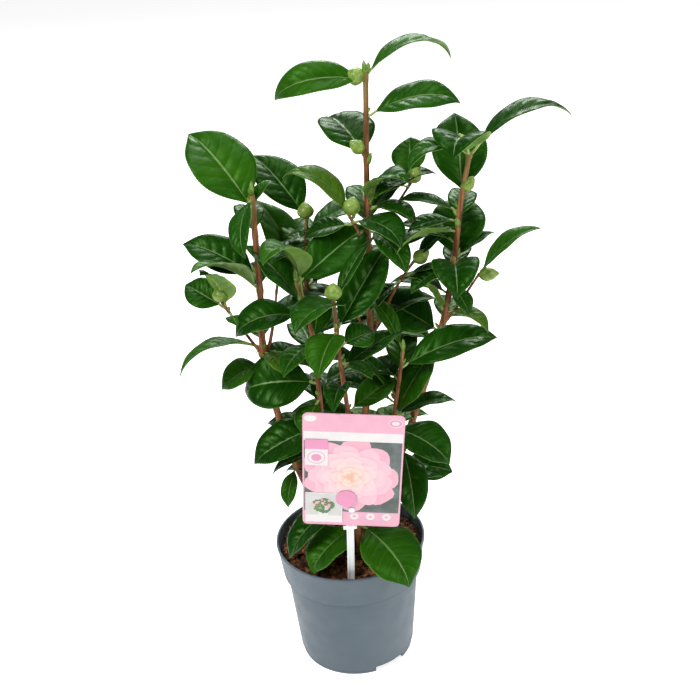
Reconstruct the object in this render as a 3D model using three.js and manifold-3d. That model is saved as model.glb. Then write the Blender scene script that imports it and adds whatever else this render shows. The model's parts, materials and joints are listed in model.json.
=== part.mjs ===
// A potted camellia shrub, in millimetres, +Z up, +X to its right, +Y to its back.
// The origin is the centre of the pot's flat underside. Seven stems rise from the soil, side boughs
// leave them, and every stretch of a stem that bears leaves has one leaf mass wrapped round it.
import * as THREE from 'three';
import { mergeVertices } from 'three/addons/utils/BufferGeometryUtils.js';
import Module from 'manifold-3d';

const wasm = await Module();
wasm.setup();

// Driving sizes.
const GAP = 0.35; // clear space between touching pieces
const POT = { height: 132, rim: 75, collarFoot: 70.3, collarHeight: 35, shoulder: 67.3, foot: 57.5, wall: 2.2 };
const NOTCH = { count: 2, width: 34, height: 6.5, first: -56 };
const SOIL_TOP = 123;
const CARD = { width: 91, height: 134, thick: 1.2, corner: 5, at: [6, -74, 254], turn: -4.8, lean: 8.8, spin: -4.9 };
const STAKE = { width: 7, thick: 2, top: 204, foot: [-2, -62], head: [1, -62] };
const LIMB_SIDES = 6;
const LIMB_STEP = 48; // height between two rings of a limb
const SLEEVE_SIDES = 5;
const POT_SIDES = 30;
const SLEEVE = 3; // how far a mass stands out round its stem
const PAD_THICK = 3.2; // least depth of a leaf pad at its midrib
const TIP_REACH = 5; // a thin tip grows this many times further than its faces
const GOLDEN_STEP = 144; // turn in degrees from one leaf to the next up a stem

// Each shoot has a route from its foot up, with the radius at its foot and tip. Its masses are named from
// the lowest up, each with the height where it ends. A leaf is height on the shoot, heading in degrees
// from +X round towards +Y, rise, length, width, droop, roll, fold and petiole length.
// A spiral adds the leaves that turn to the back of the plant.
const SHOOTS = {
  centre: {
    route: [[4, 4], [18, 4, 230], [29, 6, 320], [34, 10, 386], [36, 12, 480], [41, 12, 596]],
    radius: [4.2, 2.2],
    masses: { centre_low: 320, centre_heart: 430, centre_shoulder: 505, crown_neck: 545, crown_top: 700 },
    leaves: [
      [455, 310, -10, 52, 30, 60],
      [466, 350, 5, 54, 32, 60],
      [470, 30, 35, 44, 26, 20],
      [478, 310, 62, 52, 38, 95],
      [520, 125, 42, 62, 54, 45],
      [560, 345, 28, 84, 36, 65, 30, 8],
      [590, 195, 9, 82, 38, 60, -45, 8],
      [596, 15, 40, 90, 30, 95],
    ],
    spiral: { from: 190, to: 480, count: 18, first: 20, length: 70, rise: 15 },
  },
  right: {
    route: [[26, 8], [59, 12, 226], [86, 8, 308], [107, 3, 392], [119, 0, 483], [126, -5, 524]],
    radius: [4.2, 2.2],
    masses: { right_foot: 300, right_heart: 390, right_shoulder: 470, right_apex: 700 },
    leaves: [
      [203, 345, 5, 50, 34, 30, 30],
      [222, 275, -5, 76, 34, 75],
      [248, 325, -10, 58, 42, 40, 10],
      [335, 200, -30, 66, 34, 30],
      [350, 170, 35, 66, 54, 20, -25],
      [367, 25, -12, 48, 28, 50],
      [370, 200, 65, 52, 34, 30],
      [372, 320, 15, 54, 22, 70],
      [413, 270, 20, 56, 54, 85, 0, 30],
      [415, 205, -15, 46, 30, 20],
      [422, 75, 42, 66, 52, 15],
      [432, 20, 35, 34, 18, 30],
      [450, 165, 25, 42, 22, 20],
      [455, 190, 5, 56, 34, 30],
      [484, 85, 58, 74, 50, 15],
      [520, 5, 44, 84, 30, 70, 0, 15, 22],
      [522, 255, 62, 50, 52, 125, 0, 20],
      [524, 200, 32, 72, 26, 95],
    ],
    spiral: { from: 190, to: 460, count: 16, first: 60, length: 62, rise: 10 },
  },
  left: {
    route: [[-16, 12], [-48, 8, 215], [-68, 2, 330], [-66, 0, 405], [-65, 4, 497]],
    radius: [4.0, 2.6],
    masses: { left_foot: 290, left_heart: 390, left_shoulder: 470, left_apex: 700 },
    leaves: [
      [172, 205, -20, 40, 18, 50],
      [212, 190, 5, 34, 24, 20],
      [215, 255, -35, 38, 16, 40],
      [350, 200, 25, 86, 32, 75, 10],
      [408, 205, 48, 76, 30, 55, 15],
      [426, 165, 30, 72, 38, 25, -30],
      [490, 145, 45, 84, 58, 20, -20],
      [492, 40, 40, 24, 10, 10],
      [495, 280, 25, 62, 22, 95],
    ],
    spiral: { from: 190, to: 460, count: 16, first: 100, length: 64, rise: 10 },
  },
  front: {
    route: [[6, -18], [9, -34, 240], [4, -42, 326], [0, -50, 400], [0, -52, 418]],
    radius: [3.2, 1.6],
    masses: { front_foot: 200, front_low: 360, front_top: 700 },
    leaves: [
      [165, 308, -8, 76, 58, 50],
      [290, 25, 25, 62, 28, 20, 20],
      [325, 255, 30, 58, 26, 75, 0, 35],
      [345, 25, 25, 62, 30, 15, 10],
      [385, 40, 45, 86, 38, 15, 35],
      [385, 245, -5, 56, 44, 20, 0, 30],
      [415, 45, 45, 60, 16, 10],
    ],
  },
  inner: {
    route: [[16, -10], [44, -18, 250], [60, -27, 350]],
    radius: [2.8, 1.5],
    masses: { inner_low: 280, inner_top: 700 },
    leaves: [
      [268, 335, 35, 58, 38, 100],
      [300, 150, 55, 50, 22, 20],
      [332, 0, 28, 92, 38, 45, 25],
      [335, 120, 20, 50, 34, 20],
      [350, 130, 60, 58, 18, 40],
    ],
    spiral: { from: 210, to: 340, count: 6, first: 10, length: 60, rise: 15 },
  },
  middle: {
    route: [[-6, -6], [-18, -12, 260], [-23, -20, 383], [-32, -26, 425]],
    radius: [3.0, 1.6],
    masses: { middle_foot: 200, middle_heart: 340, middle_top: 700 },
    leaves: [
      [132, 215, 18, 60, 34, 35],
      [155, 225, 0, 56, 40, 30],
      [270, 200, -8, 74, 42, 35, -25],
      [325, 188, 10, 80, 50, 50, -45, 8],
      [370, 230, 5, 50, 20, 30],
      [397, 195, 10, 72, 38, 40, -25],
      [400, 150, 50, 72, 36, 20],
      [418, 225, 75, 62, 42, 130],
      [422, 25, 25, 86, 40, 20, 40],
    ],
    spiral: { from: 220, to: 390, count: 7, first: 80, length: 60, rise: 15 },
  },
  behind: {
    route: [[-6, 18], [-20, 26, 300], [-24, 25, 400], [-19, 22, 466]],
    radius: [3.0, 1.6],
    masses: { back_low: 290, back_heart: 400, back_top: 700 },
    leaves: [
      [418, 130, 48, 72, 46, 20],
      [455, 320, 5, 36, 34, 40, 0, 35],
      [464, 140, 42, 74, 44, 15, -20],
    ],
    spiral: { from: 185, to: 450, count: 17, first: 30, length: 70, rise: 10 },
  },
  low_right: {
    parent: 'right',
    route: [[100, 4, 357], [110, 0, 373], [133, -6, 411]],
    radius: [1.5, 1.1],
    masses: { right_reach: 700 },
    leaves: [[411, 350, 55, 68, 24, 50]],
  },
  crook: {
    parent: 'centre',
    route: [[34, 10, 350], [63, 10, 404], [76, 8, 423]],
    radius: [1.5, 1.1],
    masses: { crook_tuft: 700 },
    leaves: [[420, 15, 45, 44, 20, 20]],
  },
  high_right: {
    parent: 'centre',
    route: [[36, 13, 440], [61, 20, 470], [77, 20, 494]],
    radius: [1.5, 1.1],
    masses: { high_tuft: 700 },
    leaves: [
      [465, 350, 30, 58, 22, 50],
      [494, 130, 70, 34, 32, 40, 0, 25],
    ],
  },
  low_left: {
    parent: 'left',
    route: [[-68, 1, 338], [-83, -6, 369], [-102, -12, 406]],
    radius: [1.6, 1.0],
    masses: { left_reach: 700 },
    leaves: [
      [390, 245, 0, 22, 14, 50],
      [392, 150, 20, 44, 28, 20, -40],
      [398, 220, 70, 42, 36, 30, 60],
    ],
  },
  left_fork: {
    parent: 'left',
    route: [[-68, 2, 333], [-59, 5, 363], [-50, 8, 410]],
    radius: [1.8, 1.1],
    masses: { fork_tuft: 700 },
    leaves: [[402, 70, 50, 50, 28, 20]],
  },
  low_centre: {
    parent: 'centre',
    route: [[30, 6, 340], [26, -5, 365], [14, -14, 395]],
    radius: [1.5, 1.0],
    masses: { low_tuft: 700 },
    leaves: [[392, 235, 25, 62, 44, 60]],
  },
  bud_shoot: {
    parent: 'centre',
    route: [[35, 12, 430], [27, 4, 455], [18, -4, 477]],
    radius: [1.5, 1.1],
    masses: { bud_tuft: 700 },
    leaves: [
      [465, 325, -5, 56, 32, 40],
      [474, 165, 50, 66, 34, 110, -10],
    ],
  },
};

const COLOUR = {
  pot: '#4b5966', soil: '#4a2a1d', card: '#f3bfd2', stake: '#ececec', bark: '#7a4a33',
  leaf: ['#1c5a25', '#2a6a2c', '#17481f', '#347a33'],
};

const radians = THREE.MathUtils.degToRad;
const vector = (...xyz) => new THREE.Vector3(...xyz);

// A closed triangle mesh as a solid for cutting and joining, and back.
function solidOf(geometry) {
  geometry.deleteAttribute('normal');
  geometry.deleteAttribute('uv');
  const merged = mergeVertices(geometry, 1e-4);
  return new wasm.Manifold(new wasm.Mesh({
    numProp: 3,
    vertProperties: new Float32Array(merged.getAttribute('position').array),
    triVerts: new Uint32Array(merged.index.array),
  }));
}

function geometryOf(solid) {
  const { vertProperties, triVerts } = solid.getMesh();
  const geometry = new THREE.BufferGeometry();
  geometry.setAttribute('position', new THREE.BufferAttribute(vertProperties, 3));
  geometry.setIndex(new THREE.BufferAttribute(triVerts, 1));
  geometry.computeVertexNormals();
  return geometry;
}

function meshOf(name, geometry, colour, roughness = 0.6) {
  const mesh = new THREE.Mesh(geometry, new THREE.MeshStandardMaterial({ color: colour, roughness }));
  mesh.name = name;
  return mesh;
}

// A closed body through rings of points, all with the same count and wound anticlockwise seen from the
// last ring. A ring of one point closes an end in a tip; any other end is closed flat.
function bodyOf(rings) {
  const corners = [];
  const put = (a, b, c) => corners.push(a, b, c);
  for (let k = 0; k < rings.length - 1; k += 1) {
    const [low, high] = [rings[k], rings[k + 1]];
    const sides = Math.max(low.length, high.length);
    for (let i = 0; i < sides; i += 1) {
      const j = (i + 1) % sides;
      if (low.length === 1) put(low[0], high[j], high[i]);
      else if (high.length === 1) put(low[i], low[j], high[0]);
      else {
        put(low[i], low[j], high[j]);
        put(low[i], high[j], high[i]);
      }
    }
  }
  const [first, last] = [rings[0], rings[rings.length - 1]];
  for (let i = 1; i < first.length - 1; i += 1) put(first[0], first[i + 1], first[i]);
  for (let i = 1; i < last.length - 1; i += 1) put(last[0], last[i], last[i + 1]);
  return solidOf(new THREE.BufferGeometry().setFromPoints(corners));
}

// A shoot's centre line: a smooth curve, asked for its point at a height.
function lineOf(shoot) {
  const foot = SOIL_TOP + GAP;
  const points = shoot.route.map(([x, y, z = foot]) => vector(x, y, z));
  const curve = new THREE.CatmullRomCurve3(points, false, 'centripetal');
  const samples = curve.getPoints(40 * points.length);
  const low = points[0].z;
  const high = points[points.length - 1].z;
  const at = (height) => {
    const k = samples.findIndex((p) => p.z > height);
    if (k <= 0) return k === 0 ? samples[0].clone() : samples[samples.length - 1].clone();
    const [a, b] = [samples[k - 1], samples[k]];
    return a.clone().lerp(b, (height - a.z) / (b.z - a.z));
  };
  const radiusAt = (height) => {
    const share = THREE.MathUtils.clamp((height - low) / (high - low), 0, 1);
    return THREE.MathUtils.lerp(...shoot.radius, share);
  };
  return { at, radiusAt, low, high };
}

function ringOf(centre, radius, sides) {
  const turns = Array.from({ length: sides }, (_, i) => (2 * Math.PI * i) / sides);
  return turns.map((a) => vector(radius * Math.cos(a), radius * Math.sin(a), 0).add(centre));
}

// A limb: level rings up its centre line, so its foot is cut flat. A stem flares a little at the soil.
function limb(shoot, grow = 0) {
  const line = lineOf(shoot);
  const steps = Math.max(3, Math.round((line.high - line.low) / LIMB_STEP));
  const rings = [];
  for (let k = 0; k <= steps; k += 1) {
    const height = THREE.MathUtils.lerp(line.low, line.high, k / steps);
    const flare = shoot.parent || k > 0 ? 1 : 1.35;
    const centre = line.at(height).setZ(height + (k === steps ? grow : 0) - (k === 0 ? grow : 0));
    rings.push(ringOf(centre, line.radiusAt(height) * flare + grow, LIMB_SIDES));
  }
  return bodyOf(rings);
}

// Half the width of a leaf at a share of its length: widest just below the middle, tapered to both ends.
function leafShare(s) {
  const belly = 0.74;
  const widest = 0.46;
  const taper = belly * (1 - widest) / widest;
  return s ** belly * (1 - s) ** taper / (widest ** belly * (1 - widest) ** taper);
}

// A leaf pad: its midrib leaves the stem at a heading and rise and bends down by the droop; the two halves
// are folded up by the fold, and the whole is rolled about the midrib.
function leafPad(base, [, heading, rise, length, width, droop = 40, roll = 0, fold = 15, petiole = 7], grow) {
  const [h, r, q, f] = [heading, rise, roll, fold].map(radians);
  const along = vector(Math.cos(r) * Math.cos(h), Math.cos(r) * Math.sin(h), Math.sin(r));
  const flat = vector(-Math.sin(h), Math.cos(h), 0);
  const up = along.clone().cross(flat);
  const side = flat.clone().multiplyScalar(Math.cos(q)).addScaledVector(up, Math.sin(q));
  const face = up.clone().multiplyScalar(Math.cos(q)).addScaledVector(flat, -Math.sin(q));
  const long = length > 78 || droop > 80;
  const stations = long ? [0.12, 0.36, 0.62, 0.85] : [0.15, 0.48, 0.8];
  const midrib = base.clone().addScaledVector(along, petiole);
  const rings = [[base.clone()]];
  const steps = 60;
  let next = 0;
  for (let i = 0; i <= steps && next < stations.length; i += 1) {
    const s = i / steps;
    const bend = radians(droop) * s ** 1.3;
    const forward = along.clone().multiplyScalar(Math.cos(bend)).addScaledVector(face, -Math.sin(bend));
    const top = face.clone().multiplyScalar(Math.cos(bend)).addScaledVector(along, Math.sin(bend));
    if (s >= stations[next]) {
      const half = width / 2 * leafShare(s);
      const lift = half * Math.sin(f);
      const keel = Math.max(PAD_THICK - lift, PAD_THICK / 3);
      const slope = Math.atan2(lift + keel, half);
      const wide = half * Math.cos(f) + grow * (1 + 1 / Math.cos(slope)) / Math.tan(slope);
      rings.push([
        midrib.clone().addScaledVector(side, wide).addScaledVector(top, lift + grow),
        midrib.clone().addScaledVector(side, -wide).addScaledVector(top, lift + grow),
        midrib.clone().addScaledVector(top, -keel - grow / Math.cos(slope)),
      ]);
      next += 1;
    }
    midrib.addScaledVector(forward, length / steps);
  }
  const left = 1 - stations[stations.length - 1];
  const bend = radians(droop);
  const forward = along.clone().multiplyScalar(Math.cos(bend)).addScaledVector(face, -Math.sin(bend));
  const tip = midrib.clone().addScaledVector(forward, length * left * 0.95 + TIP_REACH * grow);
  rings.push([tip]);
  return bodyOf(rings);
}

// The leaves of a shoot with those that its spiral adds, each turned a golden step from the last.
function leavesOf(shoot) {
  const rows = [...shoot.leaves];
  const { from, to, count, first, length, rise } = shoot.spiral ?? { count: 0 };
  for (let i = 0; i < count; i += 1) {
    const share = i / (count - 1);
    const heading = (first + GOLDEN_STEP * i) % 360;
    const size = length * (0.9 + 0.05 * ((i * 7) % 5));
    const turnsBack = heading >= 10 && heading <= 170;
    if (turnsBack) rows.push([THREE.MathUtils.lerp(from, to, share), heading, rise + 15 * share, size, size / 2]);
  }
  return rows.sort((a, b) => a[0] - b[0]);
}

// A mass: the leaf pads of one stretch of a shoot, joined by a sleeve round the stem.
function massOf(shoot, rows, grow) {
  const line = lineOf(shoot);
  const low = Math.max(rows[0][0] - 4, line.low + 2);
  const high = rows[rows.length - 1][0] + 4;
  const steps = Math.max(1, Math.round((high - low) / LIMB_STEP));
  const rings = [];
  for (let k = 0; k <= steps; k += 1) {
    const height = THREE.MathUtils.lerp(low, high, k / steps);
    const centre = line.at(height).setZ(height);
    const swell = SLEEVE * (k % 2 ? 1.3 : 1) + line.radiusAt(height) + grow;
    rings.push(ringOf(centre, swell, SLEEVE_SIDES));
  }
  const pads = rows.map((row) => leafPad(line.at(row[0]), row, grow));
  return pads.reduce((whole, pad) => whole.add(pad), bodyOf(rings));
}

// The largest of the separate bodies that a cut leaves.
function largest(solid) {
  return solid.decompose().reduce((best, piece) => (piece.volume() > best.volume() ? piece : best));
}

// Pot: a turned wall with a collar, and drain notches through its foot.
function pot() {
  const { height, rim, collarFoot, collarHeight, shoulder, foot, wall } = POT;
  const collar = height - collarHeight;
  const outline = [
    [0, 0], [foot - 1, 0], [foot, 1], [foot + 0.6, 6.5], [foot + 1.2, 7.5], [shoulder, collar - 1],
    [collarFoot, collar], [rim - 0.6, height - 3], [rim, height - 2.4], [rim, height - 0.6],
    [rim - 0.6, height], [rim - wall, height], [rim - wall - 0.6, height - 3], [collarFoot - wall, collar + 1],
    [shoulder - wall, collar - 2], [foot - wall + 0.6, 3], [0, 3],
  ];
  let solid = solidOf(new THREE.LatheGeometry(outline.map(([r, z]) => new THREE.Vector2(r, z)), POT_SIDES)
    .rotateX(Math.PI / 2));
  for (let k = 0; k < NOTCH.count; k += 1) {
    const turn = radians(NOTCH.first + (360 / NOTCH.count) * k);
    const cut = new THREE.BoxGeometry(12, NOTCH.width, 2 * NOTCH.height);
    cut.translate(foot, 0, 0).rotateZ(turn);
    solid = solid.subtract(solidOf(cut));
  }
  return solid;
}

// Soil: a plug that fills the pot up to its level.
function soil() {
  const { collarFoot, collarHeight, height, shoulder, foot, wall } = POT;
  const collar = height - collarHeight;
  const slope = (POT.rim - collarFoot) / collarHeight;
  const edge = collarFoot - wall + slope * (SOIL_TOP - collar) - 1;
  const outline = [
    [0, 3 + GAP], [foot - wall, 3 + GAP], [shoulder - wall - 1, collar - 2],
    [collarFoot - wall - 1, collar + 1], [edge, SOIL_TOP], [0, SOIL_TOP],
  ];
  return solidOf(new THREE.LatheGeometry(outline.map(([r, z]) => new THREE.Vector2(r, z)), POT_SIDES)
    .rotateX(Math.PI / 2));
}

// Label: a card with round corners, leaning a little, and the flat stake that holds it.
function card(grow = 0) {
  const { width, height, thick, corner, at, turn, lean, spin } = CARD;
  const [x, y] = [width / 2 + grow, height / 2 + grow];
  const shape = new THREE.Shape();
  const corners = [[1, -1, -90], [1, 1, 0], [-1, 1, 90], [-1, -1, 180]];
  corners.forEach(([a, b, start]) => {
    shape.absarc(a * (x - corner), b * (y - corner), corner, radians(start), radians(start + 90));
  });
  const geometry = new THREE.ExtrudeGeometry(shape, {
    depth: thick + 2 * grow, bevelEnabled: false, curveSegments: 3,
  });
  geometry.translate(0, 0, -thick / 2 - grow).rotateZ(radians(spin)).rotateX(radians(90 + lean));
  geometry.rotateZ(radians(turn)).translate(...at);
  return solidOf(geometry);
}

function stake(grow = 0) {
  const { width, thick, top, foot, head } = STAKE;
  const [x, y] = [width / 2 + grow, thick / 2 + grow];
  const levels = [[...foot, SOIL_TOP + GAP - grow], [...head, top + grow]];
  return bodyOf(levels.map(([cx, cy, z]) => [
    vector(cx - x, cy - y, z), vector(cx + x, cy - y, z), vector(cx + x, cy + y, z), vector(cx - x, cy + y, z),
  ]));
}

// Assembly. What is built later is cut clear of what is there already.
const plant = new THREE.Group();
const place = (name, solid, colour, roughness) => {
  plant.add(meshOf(name, geometryOf(solid), colour, roughness));
};
place('pot', pot(), COLOUR.pot, 0.55);
place('soil', soil(), COLOUR.soil, 0.95);
place('label_card', card(), COLOUR.card, 0.4);
place('label_stake', stake().subtract(card(GAP)), COLOUR.stake, 0.4);

const shoots = Object.entries(SHOOTS);
const built = [];
for (const [name, shoot] of shoots) {
  let solid = limb(shoot);
  for (const { clear } of built) solid = solid.subtract(clear);
  built.push({ clear: limb(shoot, GAP) });
  place(`${shoot.parent ? 'bough' : 'stem'}_${name}`, largest(solid), COLOUR.bark, 0.85);
}
built.push({ clear: card(GAP) }, { clear: stake(GAP) });

let tone = 0;
for (const [, shoot] of shoots) {
  let low = 0;
  for (const [name, high] of Object.entries(shoot.masses)) {
    const floor = low;
    const rows = leavesOf(shoot).filter(([z]) => z > floor && z <= high);
    low = high;
    let solid = massOf(shoot, rows, 0);
    for (const { clear } of built) solid = solid.subtract(clear);
    built.push({ clear: massOf(shoot, rows, GAP) });
    place(`leaves_${name}`, largest(solid), COLOUR.leaf[tone % COLOUR.leaf.length], 0.45);
    tone += 1;
  }
}

export default plant;
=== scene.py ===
# The looks of a potted camellia shrub. Sizes are in millimetres, and turned to metres as a mesh is made.
import json
import math

import bmesh
import bpy
import numpy as np
from mathutils import Matrix, Vector, noise

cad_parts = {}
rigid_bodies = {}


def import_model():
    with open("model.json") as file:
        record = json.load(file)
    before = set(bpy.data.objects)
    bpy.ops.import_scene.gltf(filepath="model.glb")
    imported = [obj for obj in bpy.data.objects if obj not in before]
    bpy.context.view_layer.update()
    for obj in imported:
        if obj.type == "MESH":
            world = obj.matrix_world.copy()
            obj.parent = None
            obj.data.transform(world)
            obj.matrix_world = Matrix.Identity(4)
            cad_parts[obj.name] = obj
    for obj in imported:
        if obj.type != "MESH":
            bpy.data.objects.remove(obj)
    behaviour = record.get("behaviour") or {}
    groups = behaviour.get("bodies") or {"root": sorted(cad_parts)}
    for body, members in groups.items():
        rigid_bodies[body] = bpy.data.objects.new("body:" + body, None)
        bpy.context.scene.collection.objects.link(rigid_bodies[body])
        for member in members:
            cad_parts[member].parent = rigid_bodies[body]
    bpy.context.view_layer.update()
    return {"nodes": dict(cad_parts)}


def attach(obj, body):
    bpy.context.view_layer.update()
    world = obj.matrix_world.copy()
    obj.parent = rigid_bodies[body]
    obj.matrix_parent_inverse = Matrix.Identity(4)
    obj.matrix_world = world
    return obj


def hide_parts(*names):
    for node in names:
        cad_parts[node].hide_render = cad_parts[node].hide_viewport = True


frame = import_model()
MM = 0.001
SEED = 7  # every random draw starts from it


# ---------------------------------------------------------------- camera, floor and light

def linked(name, data):
    """A new object in the scene."""
    made = bpy.data.objects.new(name, data)
    bpy.context.scene.collection.objects.link(made)
    return made


def look_from(place, turn, down, roll, lens):
    """The camera: its place in metres, turned right, pitched down and rolled, in degrees."""
    data = bpy.data.cameras.new("camera")
    data.lens = lens
    data.sensor_width = 36.0
    camera = linked("camera", data)
    aim = Matrix.Rotation(math.radians(-turn), 4, "Z") @ Matrix.Rotation(math.radians(90 - down), 4, "X")
    camera.matrix_world = Matrix.Translation(place) @ aim @ Matrix.Rotation(math.radians(-roll), 4, "Z")
    bpy.context.scene.camera = camera


def soft_light(name, place, target, size, power):
    """A rectangular studio light: its place, what it points at, its width and height, and its watts."""
    data = bpy.data.lights.new(name, "AREA")
    data.shape = "RECTANGLE"
    data.size, data.size_y = size
    data.energy = power
    light = linked(name, data)
    light.location = place
    light.rotation_euler = (Vector(target) - Vector(place)).to_track_quat("-Z", "Y").to_euler()


CROWN = (0, 0, 0.35)  # the middle of the crown, in metres
look_from(place=(0, -1.0016, 0.8459), turn=0.69, down=26.77, roll=3.8, lens=61.8)
soft_light("back", (0.3, 1.7, 1.9), CROWN, (1.4, 0.7), 44)
soft_light("key", (-1.1, -1.1, 1.9), CROWN, (0.6, 0.7), 33)
soft_light("fill", (1.5, -0.9, 1.2), CROWN, (0.6, 0.8), 13)
soft_light("top", (0.2, -0.1, 3.0), (0, 0, 0), (1.6, 1.6), 34)
bpy.context.scene.view_settings.view_transform = "Standard"


# ---------------------------------------------------------------- node trees

class Value:
    """A number on a node's socket, so that shader and geometry sums are written as sums."""

    def __init__(self, net, socket):
        self.net, self.socket = net, socket

    def math(self, operation, *others):
        made = self.net.node("ShaderNodeMath", {"operation": operation},
                             dict(enumerate([self, *others])))
        return Value(self.net, made.outputs[0])

    def __add__(self, other):
        return self.math("ADD", other)

    def __mul__(self, other):
        return self.math("MULTIPLY", other)

    def __sub__(self, other):
        return self.math("SUBTRACT", other)

    __radd__ = __add__
    __rmul__ = __mul__

    def __rsub__(self, other):
        return self * -1 + other


class Net:
    """A node tree filled by one method: a node's type, its settings, and what its sockets take."""

    def __init__(self, tree):
        self.tree = tree

    def node(self, kind, settings=None, sockets=None):
        made = self.tree.nodes.new(kind)
        for name, value in (settings or {}).items():
            setattr(made, name, value)
        for name, value in (sockets or {}).items():
            self.feed(made.inputs[name], value)
        return made

    def feed(self, socket, value):
        if isinstance(value, Value):
            value = value.socket
        if isinstance(value, bpy.types.NodeSocket):
            self.tree.links.new(value, socket)
        else:
            socket.default_value = value

    def value(self, kind, output=0, settings=None, sockets=None):
        return Value(self, self.node(kind, settings, sockets).outputs[output])

    def vector(self, operation, first, second=None, scale=None):
        """A vector sum of a first vector with a second one or a scale."""
        other = {1: second} if scale is None else {"Scale": scale}
        return self.node("ShaderNodeVectorMath", {"operation": operation}, {0: first} | other).outputs[0]

    def shaped(self, kind, geometry, settings=None, **sockets):
        """What a geometry node makes of the geometry that it is given."""
        taken = {name.replace("_", " "): value for name, value in sockets.items()}
        return self.node("GeometryNode" + kind, settings, {0: geometry} | taken).outputs[0]


class Surface(Net):
    """A material with one Principled shader."""

    def __init__(self, name, **fixed):
        self.material = bpy.data.materials.new(name)
        self.material.use_nodes = True
        super().__init__(self.material.node_tree)
        self.shader = next(n for n in self.tree.nodes if n.type == "BSDF_PRINCIPLED")
        self.place = self.node("ShaderNodeTexCoord").outputs["Object"]
        for name, value in fixed.items():
            self.set(name.replace("_", " ").title().replace("Ior", "IOR"), value)

    def set(self, socket, value):
        self.feed(self.shader.inputs[socket], value)

    def grain(self, scale, detail=3.0, stretch=(1, 1, 1), distortion=0.0):
        """Soft noise from 0 to 1, at a scale per metre, stretched along an axis."""
        place = self.place
        if stretch != (1, 1, 1):
            place = self.node("ShaderNodeMapping", {}, {"Vector": place, "Scale": stretch}).outputs[0]
        return self.value("ShaderNodeTexNoise", "Fac", {},
                          {"Vector": place, "Scale": scale, "Detail": detail, "Distortion": distortion})

    def attribute(self, name):
        return self.value("ShaderNodeAttribute", "Fac", {"attribute_name": name})

    def stretch_to(self, value, low, high, out_low=0.0, out_high=1.0):
        """A smooth step: out_low up to the low value, out_high from the high value on."""
        return self.value("ShaderNodeMapRange", "Result", {"interpolation_type": "SMOOTHSTEP"}, {
            "Value": value, "From Min": low, "From Max": high, "To Min": out_low, "To Max": out_high})

    def mix(self, share, first, second):
        made = self.node("ShaderNodeMix", {"data_type": "RGBA"})
        for index, value in ((0, share), (6, first), (7, second)):
            self.feed(made.inputs[index], value)
        return made.outputs[2]

    def tone(self, grain, first, second, low=0.3, high=0.7):
        """The base colour, from the first to the second by a grain."""
        self.set("Base Color", self.mix(self.stretch_to(grain, low, high), first, second))

    def rough(self, grain, least, most, low=0.2, high=0.8):
        """The roughness, from least to most by a grain."""
        self.set("Roughness", self.stretch_to(grain, low, high, least, most))

    def bump(self, height, strength, distance):
        """Relief in the surface: the height runs from 0 to 1 over the distance in millimetres."""
        made = self.node("ShaderNodeBump", {}, {
            "Height": height, "Strength": strength, "Distance": distance * MM})
        self.set("Normal", made.outputs[0])


def rgb(red, green, blue):
    return (red, green, blue, 1.0)


# ---------------------------------------------------------------- materials

POT_HEIGHT, POT_RIM, POT_WALL = 132, 75, 2.2
COLLAR_FOOT, COLLAR_HEIGHT, SHOULDER, POT_FOOT = 70.3, 35, 67.3, 57.5
FOOT_LINE = 6.2  # height of the ridge round the foot of the pot, along which a highlight is painted
VEINS = 7  # side veins along each half of a leaf
VEIN_SLANT = 0.2  # how far a vein runs forward, as a share of the leaf's length
VEIN_SWEEP = 1.2  # how much of that is near the edge: 1 is a straight vein
VEIN_EDGES = (0.010, 0.045)  # half a vein line's width, solid and faded, as shares of the gap between veins
VEIN_SHOW = 0.30  # how strongly a vein line is drawn
PRINT_COAT = dict(coat_weight=0.15, coat_roughness=0.3)


def leaf_upper(name, deep, fresh, vein, rough):
    """Leathery upper side: deep green, a little uneven, with fine pale veins, a painted glow of light through
    the thin edge as a pale rim, and a waxy gloss.
    """
    surface = Surface(name, specular_ior_level=0.26, specular_tint=rgb(0.40, 0.85, 0.22))
    along = surface.attribute("along")
    reach = surface.attribute("across").math("ABSOLUTE")
    turns = (along - reach.math("POWER", VEIN_SWEEP) * VEIN_SLANT) * VEINS + 0.5
    gap = (turns.math("FRACT") - 0.5).math("ABSOLUTE")
    line = surface.stretch_to(gap, *VEIN_EDGES, VEIN_SHOW, 0) * surface.stretch_to(reach, 0.7, 0.92, 1, 0)
    # painted glow: the edge of the blade lit up in the veins' pale tone, as light shining through the thin
    # margin
    rim = surface.stretch_to(reach, 0.955, 0.99, 0, 0.8)
    blade = surface.mix(surface.stretch_to(surface.grain(38, 2), 0.3, 0.75), deep, fresh)
    surface.set("Base Color", surface.mix(line.math("MAXIMUM", rim), blade, vein))
    surface.rough(surface.grain(120, 2), rough - 0.04, rough + 0.07, 0.3, 0.7)
    quilt = surface.stretch_to(gap, 0, 0.3) * surface.stretch_to(reach, 0.75, 1.0, 1, 0)
    surface.bump(quilt + surface.grain(900, 2) * 0.12, 0.35, 0.5)
    return surface.material


def leaf_under(name, pale, yellow):
    """Matt underside, paler and yellower than the top."""
    surface = Surface(name, specular_ior_level=0.3)
    surface.tone(surface.grain(70), pale, yellow)
    surface.rough(surface.grain(400), 0.42, 0.58)
    surface.bump(surface.grain(700, 2), 0.3, 0.12)
    return surface.material


def stalk_skin(name, deep, pale, scale, fine):
    """The smooth skin of a rib or a petiole, its tones on one scale and its gloss on a finer one."""
    surface = Surface(name)
    surface.set("Base Color", surface.mix(surface.grain(scale), deep, pale))
    surface.rough(surface.grain(fine), 0.38, 0.5)
    return surface.material


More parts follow.
